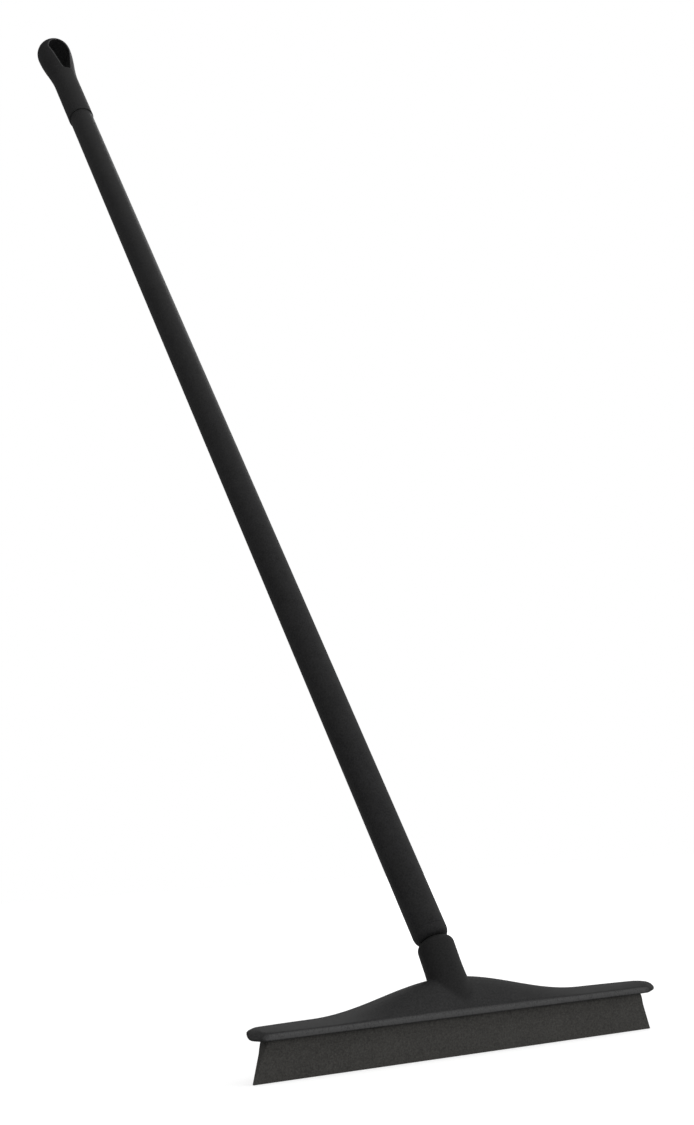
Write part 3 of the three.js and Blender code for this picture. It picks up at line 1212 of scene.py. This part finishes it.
@dataclass
class HandleTube:
    """The long handle: a plastic sleeve over an aluminium tube, a screw end and a hanging cap."""

    length: float = 1511.5
    sleeve_radius: float = 15.8
    sleeve_wall: float = 1.0
    seat_gap: float = 0.3
    collar_seam: float = 0.1
    collar_height: float = 10.0
    collar_rounding: float = 8.5
    collar_steps: int = 14
    socket_rim_radius: float = 9.3
    cap_length: float = 193.0
    spigot_radius: float = 12.7
    spigot_bore: float = 9.7
    spigot_length: float = 60.0
    spigot_lead: float = 1.5
    screw_length: float = 33.0
    screw_lead: float = 1.2
    end_floor: float = 5.0
    edge_rounding: float = 0.25
    edge_steps: int = 4
    steps: int = 96
    crease: float = 35.0

    def settled(self, bm: Skin, name: str, node: str, finish: Finish, crease: float) -> Piece:
        """Puts a piece of the handle in its place on the squeegee.

        Args:
            bm: Its skin in the handle's own frame.
            name: The piece's name.
            node: The solid that it stands for.
            finish: Its finish.
            crease: Angle past which edges stay sharp, in degrees.

        Returns:
            The piece.
        """
        bmesh.ops.transform(bm, matrix=PLACE, verts=bm.verts)
        piece = finished(bm, name, crease)
        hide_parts(node)
        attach(piece, Body.HANDLE.value)
        finish.dress(piece)
        return piece

    def sleeve(self) -> Piece:
        """Draws the sleeve with slightly rounded ends.

        Returns:
            The sleeve.
        """
        bottom, top = self.collar_height + self.collar_seam, self.length - self.cap_length - self.seat_gap
        bore, radius, edge = self.sleeve_radius - self.sleeve_wall, self.sleeve_radius, self.edge_rounding
        wall = [
            (bore, bottom),
            (radius - self.collar_seam, bottom),
            (radius, bottom + self.collar_seam),
            *arc((radius - edge, top - edge), edge, edge, 0.0, QUARTER, self.edge_steps),
            (bore, top),
        ]
        bm = turned(wall, self.steps, closed=True)
        return self.settled(bm, "grip_sleeve", "handle_sleeve", SLEEVE_PLASTIC, self.crease)

    def screw_end(self) -> Piece:
        """Draws the rounded collar, the screw below it and the spigot above it.

        Returns:
            The screw end.
        """
        rim, rounding = self.socket_rim_radius, self.collar_rounding
        top = self.collar_height + self.spigot_length
        profile = [
            (0.0, -self.screw_length),
            (THREAD.core - self.screw_lead, -self.screw_length),
            (THREAD.core, self.screw_lead - self.screw_length),
            (THREAD.core, 0.0),
            *arc((rim, rounding), self.sleeve_radius - rim, rounding, -QUARTER, QUARTER, self.collar_steps),
            (self.sleeve_radius, self.collar_height - self.collar_seam),
            (self.sleeve_radius - self.collar_seam, self.collar_height),
            (self.spigot_radius, self.collar_height),
            (self.spigot_radius, top - self.spigot_lead),
            (self.spigot_radius - self.spigot_lead, top),
            (self.spigot_bore, top),
            (self.spigot_bore, self.end_floor),
            (0.0, self.end_floor),
        ]
        ridge = THREAD.ridge(-THREAD.start - THREAD.length, -THREAD.start, 0.0, True)
        bm = combined(turned(profile, self.steps), ridge, Cut.JOIN)
        return self.settled(bm, "screw_end", "thread_end", SCREW_PLASTIC, self.crease)

    def build(self) -> list[Piece]:
        """Builds the handle's pieces in order, from the screw up."""
        return [self.screw_end(), self.sleeve(), HangingCap(self).build()]


@dataclass
class HangingCap:
    """The cap at the handle's top, a bulb with a teardrop hole through it."""

    handle: HandleTube
    skirt_radius: float = 17.0
    skirt_edge: float = 0.9
    skirt_steps: int = 4
    skirt_height: float = 90.0
    swell_steps: int = 40
    bulb_radius: float = 23.8
    bulb_height: float = 22.0
    bulb_steps: int = 24
    hole_top_radius: float = 15.0
    hole_top_edge: float = 16.0
    hole_top_steps: int = 48
    hole_bottom_radius: float = 6.0
    hole_bottom_steps: int = 32
    hole_length: float = 70.0
    hole_overrun: float = 3.0
    rim_reach: float = 2.2
    rim_reaches: tuple[float, ...] = (1.8, 1.4, 1.0)
    rim_rounds: int = 4
    voxel: float = 0.65
    crease: float = 48.0

    def profile(self) -> list[Point]:
        """Draws half of the cap's section, from the floor of its spigot to the top of the bulb.

        Returns:
            Radius and height of each point.
        """
        handle, edge, skirt = self.handle, self.skirt_edge, self.skirt_radius
        base, bulb = handle.length - handle.cap_length, handle.length - self.bulb_height
        neck = base + self.skirt_height
        points = [
            (0.0, base + handle.end_floor),
            (handle.spigot_bore, base + handle.end_floor),
            (handle.spigot_bore, base - handle.spigot_length),
            (handle.spigot_radius - handle.spigot_lead, base - handle.spigot_length),
            (handle.spigot_radius, base - handle.spigot_length + handle.spigot_lead),
            (handle.spigot_radius, base),
            *arc((skirt - edge, base + edge), edge, edge, -QUARTER, QUARTER, self.skirt_steps),
        ]
        for i in range(self.swell_steps):
            share = i / self.swell_steps
            swell = (self.bulb_radius - skirt) * (1.0 - math.cos(math.pi * share)) / 2
            points.append((skirt + swell, neck + (bulb - neck) * share))
        return points + arc((0.0, bulb), self.bulb_radius, self.bulb_height, 0.0, QUARTER, self.bulb_steps)

    def circles(self) -> tuple[float, float]:
        """Heights of the middles of the hole's lower and upper circles."""
        tip = self.handle.length - self.hole_top_edge
        return tip - self.hole_length + self.hole_bottom_radius, tip - self.hole_top_radius

    def hole(self) -> Skin:
        """Draws the teardrop that cuts the hole.

        Returns:
            The cutter.
        """
        bottom, top = self.circles()
        wide, narrow = self.hole_top_radius, self.hole_bottom_radius
        tilt = math.asin((wide - narrow) / (top - bottom))
        outline = arc((0.0, top), wide, wide, -tilt, math.pi + 2 * tilt, self.hole_top_steps)
        start, turn = math.pi + tilt, math.pi - 2 * tilt
        outline += arc((0.0, bottom), narrow, narrow, start, turn, self.hole_bottom_steps)
        reach = self.bulb_radius + self.hole_overrun
        rings = [[Vector((x, y, z)) for x, z in outline] for y in (-reach, reach)]
        return tidied(skin(rings, capped=True))

    def hole_distance(self, x: float, height: float) -> float:
        """Works out how far a point, seen along the hole, lies outside its outline.

        Args:
            x: Place across the cap.
            height: Place along the handle.

        Returns:
            The distance, which is negative inside.
        """
        bottom, top = self.circles()
        span = top - bottom
        slope = (self.hole_top_radius - self.hole_bottom_radius) / span
        level = math.sqrt(1.0 - slope * slope)
        across, up = abs(x), height - bottom
        along = up * level + across * slope
        if along < 0.0:
            return math.hypot(across, up) - self.hole_bottom_radius
        if along > level * span:
            return math.hypot(across, up - span) - self.hole_top_radius
        return across * level - up * slope - self.hole_bottom_radius

    def radius_at(self, height: float) -> float:
        """Works out the cap's outer radius.

        Args:
            height: Place along the handle.

        Returns:
            The radius, or 0 off the cap.
        """
        outer = [p for p in self.profile() if p[1] >= self.handle.length - self.handle.cap_length]
        for (r0, z0), (r1, z1) in zip(outer, outer[1:]):
            if z0 <= height <= z1 and z1 > z0:
                return r0 + (r1 - r0) * (height - z0) / (z1 - z0)
        return 0.0

    def rim_distance(self, point: Vector) -> float:
        """Works out how far a point of the skin is from the rim of the hole.

        Args:
            point: The point, in the handle's own frame.

        Returns:
            The distance, without end below the hole.
        """
        bottom, _ = self.circles()
        if point.z < bottom - 2 * self.hole_bottom_radius:
            return math.inf
        from_hole = abs(self.hole_distance(point.x, point.z))
        return max(from_hole, abs(self.radius_at(point.z) - math.hypot(point.x, point.y)))

    def rim_highlight_share(self, point: Vector) -> float:
        """How much of the rim's painted highlight a point gets, from 0 away from the rim to 1 on its corner.
        """
        return blended((self.rim_reach - self.rim_distance(point)) / self.rim_reach)

    def build(self) -> Piece:
        """Turns the cap, cuts the hole and rounds its rim.

        Returns:
            The cap.
        """
        bm = combined(turned(self.profile(), self.handle.steps), self.hole(), Cut.REMOVE)
        bm = remeshed(bm, self.voxel)
        softened(bm, self.rim_distance, self.rim_reaches, self.rim_rounds)
        # The share of the rim's painted highlight is kept on the vertices for the finish to read.
        marked(bm, CAP_PLASTIC.rim_highlight_share, self.rim_highlight_share)
        return self.handle.settled(bm, "hanging_bulb", "hanging_cap", CAP_PLASTIC, self.crease)


# The studio


@dataclass(frozen=True)
class Lamp:
    """A soft square lamp. Places and its side are in metres, its power in watts."""

    name: str
    place: Position
    aim: Position
    side: float
    power: float

    def hang(self) -> None:
        """Hangs the lamp and turns it to its aim."""
        light = bpy.data.lights.new(self.name, "AREA")
        light.size = self.side
        light.energy = self.power
        facing = (Vector(self.aim) - Vector(self.place)).to_track_quat("-Z", "Y")
        shown(self.name, light).matrix_world = Matrix.Translation(self.place) @ facing.to_matrix().to_4x4()


@dataclass
class Studio:
    """A pale floor, soft light and the camera. Sizes are in metres, angles in degrees."""

    camera_place: Position = (-0.776536, -1.141001, 0.161228)
    azimuth: float = -31.247
    elevation: float = -10.768
    roll: float = -3.831
    focal_pixels: float = 1588.678
    image_height: float = 1125.0
    sensor: float = 36.0
    clip_end: float = 100.0
    floor_size: float = 30.0
    floor_drop: float = 0.0004
    floor_colour: tuple[float, float, float, float] = (0.55, 0.55, 0.55, 1.0)
    bright_side: Position = (0.25, -0.97, 0.0)
    bright_reach: float = 0.5
    front_level: float = 1.2
    rear_level: float = 0.22
    near: float = 0.35
    far: float = 2.2
    near_glow: float = 0.66
    far_glow: float = 1.0
    lamps: tuple[Lamp, ...] = (
        Lamp("Left", (-2.6, 0.6, 1.4), (0.0, 0.3, 0.5), 1.2, 2.5),
        Lamp("Rear", (1.6, 2.4, 2.4), (0.0, 0.3, 0.4), 1.5, 10.0),
        Lamp("Right", (2.5, -1.8, 1.0), (0.0, 0.1, 0.15), 1.1, 3.0),
    )

    def camera(self) -> None:
        """Places the camera where the photograph was taken from."""
        azimuth, elevation, roll = (math.radians(a) for a in (self.azimuth, self.elevation, self.roll))
        level = Vector((math.sin(azimuth), -math.cos(azimuth), 0.0))
        back = level * math.cos(elevation) + Vector((0.0, 0.0, math.sin(elevation)))
        right = (-back).cross(Vector((0, 0, 1))).normalized()
        up = right.cross(-back)
        across = math.cos(roll) * right + math.sin(roll) * up
        above = -math.sin(roll) * right + math.cos(roll) * up
        lens = bpy.data.cameras.new("Camera")
        lens.sensor_fit = "AUTO"
        lens.sensor_width = self.sensor
        lens.lens = self.focal_pixels * self.sensor / self.image_height
        lens.clip_end = self.clip_end
        camera = shown("Camera", lens)
        columns = zip(across, above, back, self.camera_place)
        camera.matrix_world = Matrix((*columns, (0, 0, 0, 1)))
        bpy.context.scene.camera = camera

    def floor(self) -> None:
        """Lays the floor, which is white to the camera apart from the soft shadow."""
        bm = bmesh.new()
        bmesh.ops.create_grid(bm, x_segments=1, y_segments=1, size=self.floor_size / 2)
        mesh = meshed(bm, "floor")
        mesh.transform(Matrix.Translation((0, 0, -self.floor_drop)))
        floor = shown("floor", mesh)
        material = bpy.data.materials.new("Pale floor")
        material.use_nodes = True
        tree = material.node_tree
        inputs = {"Base Color": self.floor_colour, "Roughness": 1.0, "Specular IOR Level": 0.0}
        shader = fed(tree, tree.nodes["Principled BSDF"], inputs)
        place = new_node(tree, "ShaderNodeTexCoord").outputs["Object"]
        away = new_node(tree, "ShaderNodeVectorMath", {0: place}, operation="LENGTH").outputs["Value"]
        glowing = between(tree, spread(tree, away, self.near, self.far), self.near_glow, self.far_glow)
        seen = new_node(tree, "ShaderNodeLightPath").outputs[Ray.CAMERA.value]
        glow = new_node(tree, "ShaderNodeEmission", {"Strength": maths(tree, Op.MULTIPLY, seen, glowing)})
        both = new_node(tree, "ShaderNodeAddShader", {0: shader.outputs[0], 1: glow.outputs[0]})
        fed(tree, tree.nodes["Material Output"], {"Surface": both.outputs[0]})
        mesh.materials.append(material)

    def world(self) -> None:
        """Makes the surroundings white to the camera and brighter on one side to the object."""
        world = bpy.data.worlds.new("Studio")
        bpy.context.scene.world = world
        world.use_nodes = True
        tree = world.node_tree
        place = new_node(tree, "ShaderNodeTexCoord").outputs["Generated"]
        inputs = {0: place, 1: self.bright_side}
        facing = new_node(tree, "ShaderNodeVectorMath", inputs, operation="DOT_PRODUCT").outputs["Value"]
        ahead = spread(tree, facing, -self.bright_reach, self.bright_reach)
        level = between(tree, ahead, self.rear_level, self.front_level)
        lit = fed(tree, tree.nodes["Background"], {"Color": WHITE, "Strength": level})
        seen = new_node(tree, "ShaderNodeBackground", {"Color": WHITE})
        rays = new_node(tree, "ShaderNodeLightPath").outputs
        plain = maths(tree, Op.MAXIMUM, rays[Ray.CAMERA.value], rays[Ray.TRANSMISSION.value])
        choice = new_node(tree, "ShaderNodeMixShader", {0: plain, 1: lit.outputs[0], 2: seen.outputs[0]})
        fed(tree, tree.nodes["World Output"], {"Surface": choice.outputs[0]})

    def build(self) -> None:
        """Sets up the whole studio."""
        self.camera()
        self.floor()
        self.world()
        for lamp in self.lamps:
            lamp.hang()
        bpy.context.scene.view_settings.view_transform = "Standard"


def main() -> None:
    """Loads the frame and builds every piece."""
    logging.basicConfig(level=logging.INFO, format="%(message)s")
    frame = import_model()
    for build in (build_grain, build_scuffs, build_edges):
        build()
    pieces = [SqueegeeHead().build(), WiperBlade().build(), *HandleTube().build()]
    tube = frame["nodes"]["handle_tube"]
    TUBE_METAL.dress(tube)
    for piece in [*pieces, tube]:
        LOG.info("%s: %d faces", piece.name, len(piece.data.polygons))
    Studio().build()
    bpy.context.view_layer.update()


if __name__ == "__main__":
    main()
